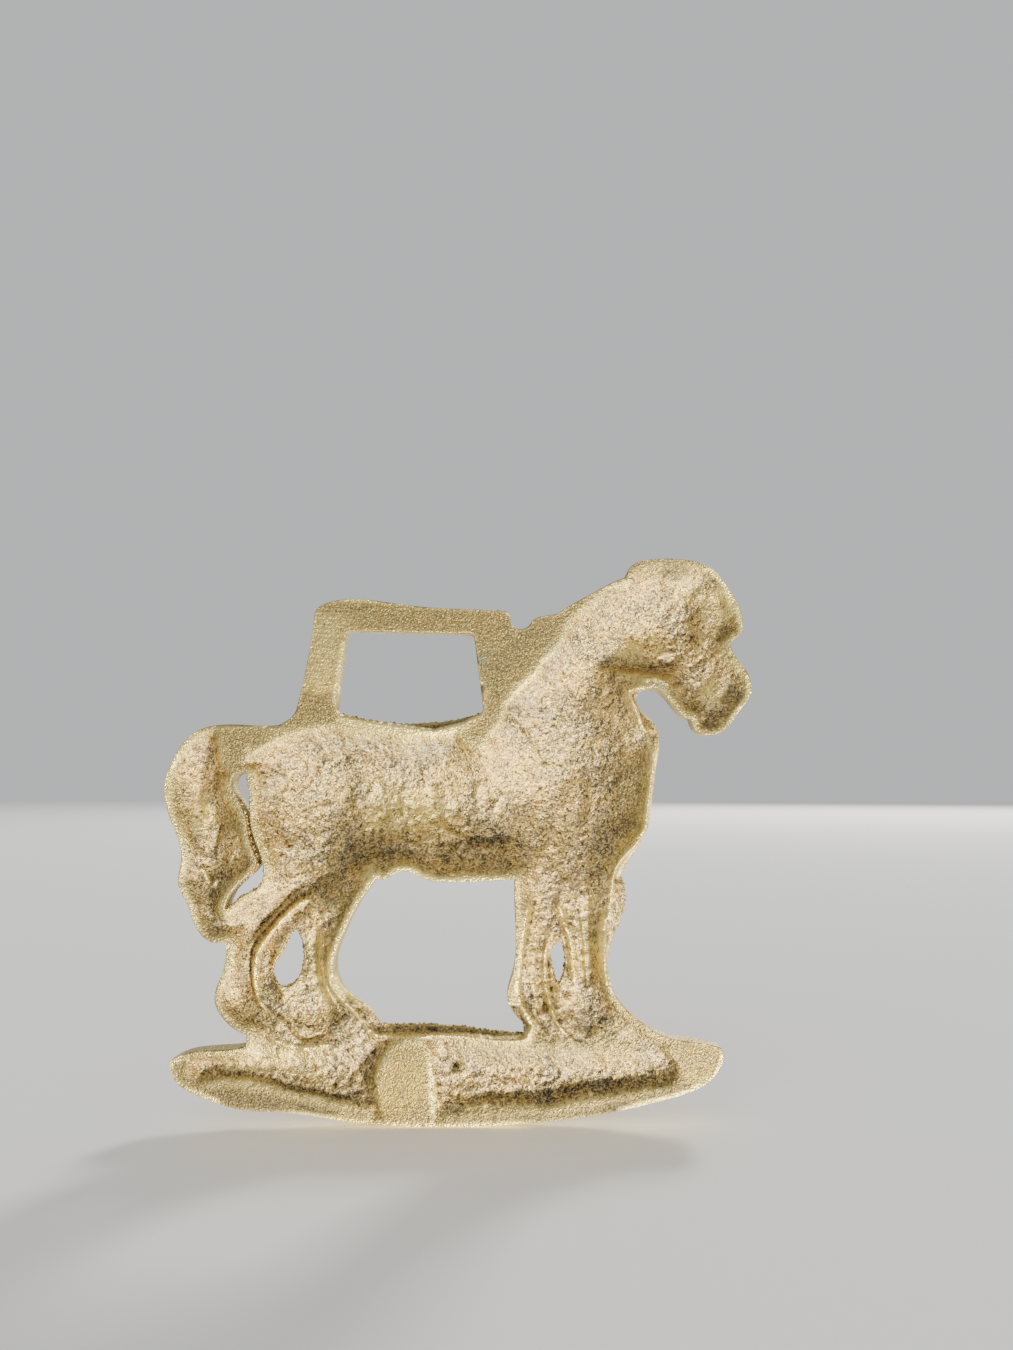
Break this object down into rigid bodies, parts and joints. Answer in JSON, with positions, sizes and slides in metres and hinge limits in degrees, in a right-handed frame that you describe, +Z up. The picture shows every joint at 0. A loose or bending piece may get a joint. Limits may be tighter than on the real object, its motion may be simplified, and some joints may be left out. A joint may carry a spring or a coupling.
{
  "type": "horse-shaped harness brass",
  "caption": "Hollow-backed cast brass harness ornament: a standing horse on a curved plinth, with a strap loop on its back.",
  "frame": {"origin": "middle of the strap slot, on the filed back", "axes": "+X towards the horse's head, +Z up, +Y from the filed back towards the relief"},
  "size_m": [0.0881, 0.0092, 0.0835],
  "materials": {
    "cast_brass": "aged cast brass, dull golden brown, granular in the hollows and worn bright on the rims",
    "filed_brass": "filed brass with a dull olive-gold tarnish, fine file marks and bright worn edges"
  },
  "bodies": {
    "root": {"loop_rear_post": "filed_brass", "loop_top_bar": "filed_brass", "loop_front_web": "filed_brass", "head": "cast_brass", "neck": "cast_brass", "forequarter": "cast_brass", "barrel": "cast_brass", "hindquarter": "cast_brass", "tail": "cast_brass", "near_hind_leg": "cast_brass", "far_hind_leg": "cast_brass", "near_fore_leg": "cast_brass", "far_fore_leg": "cast_brass", "plinth_rear": "cast_brass", "runner_stub": "filed_brass", "plinth_front": "cast_brass"}
  },
  "joints": []
}
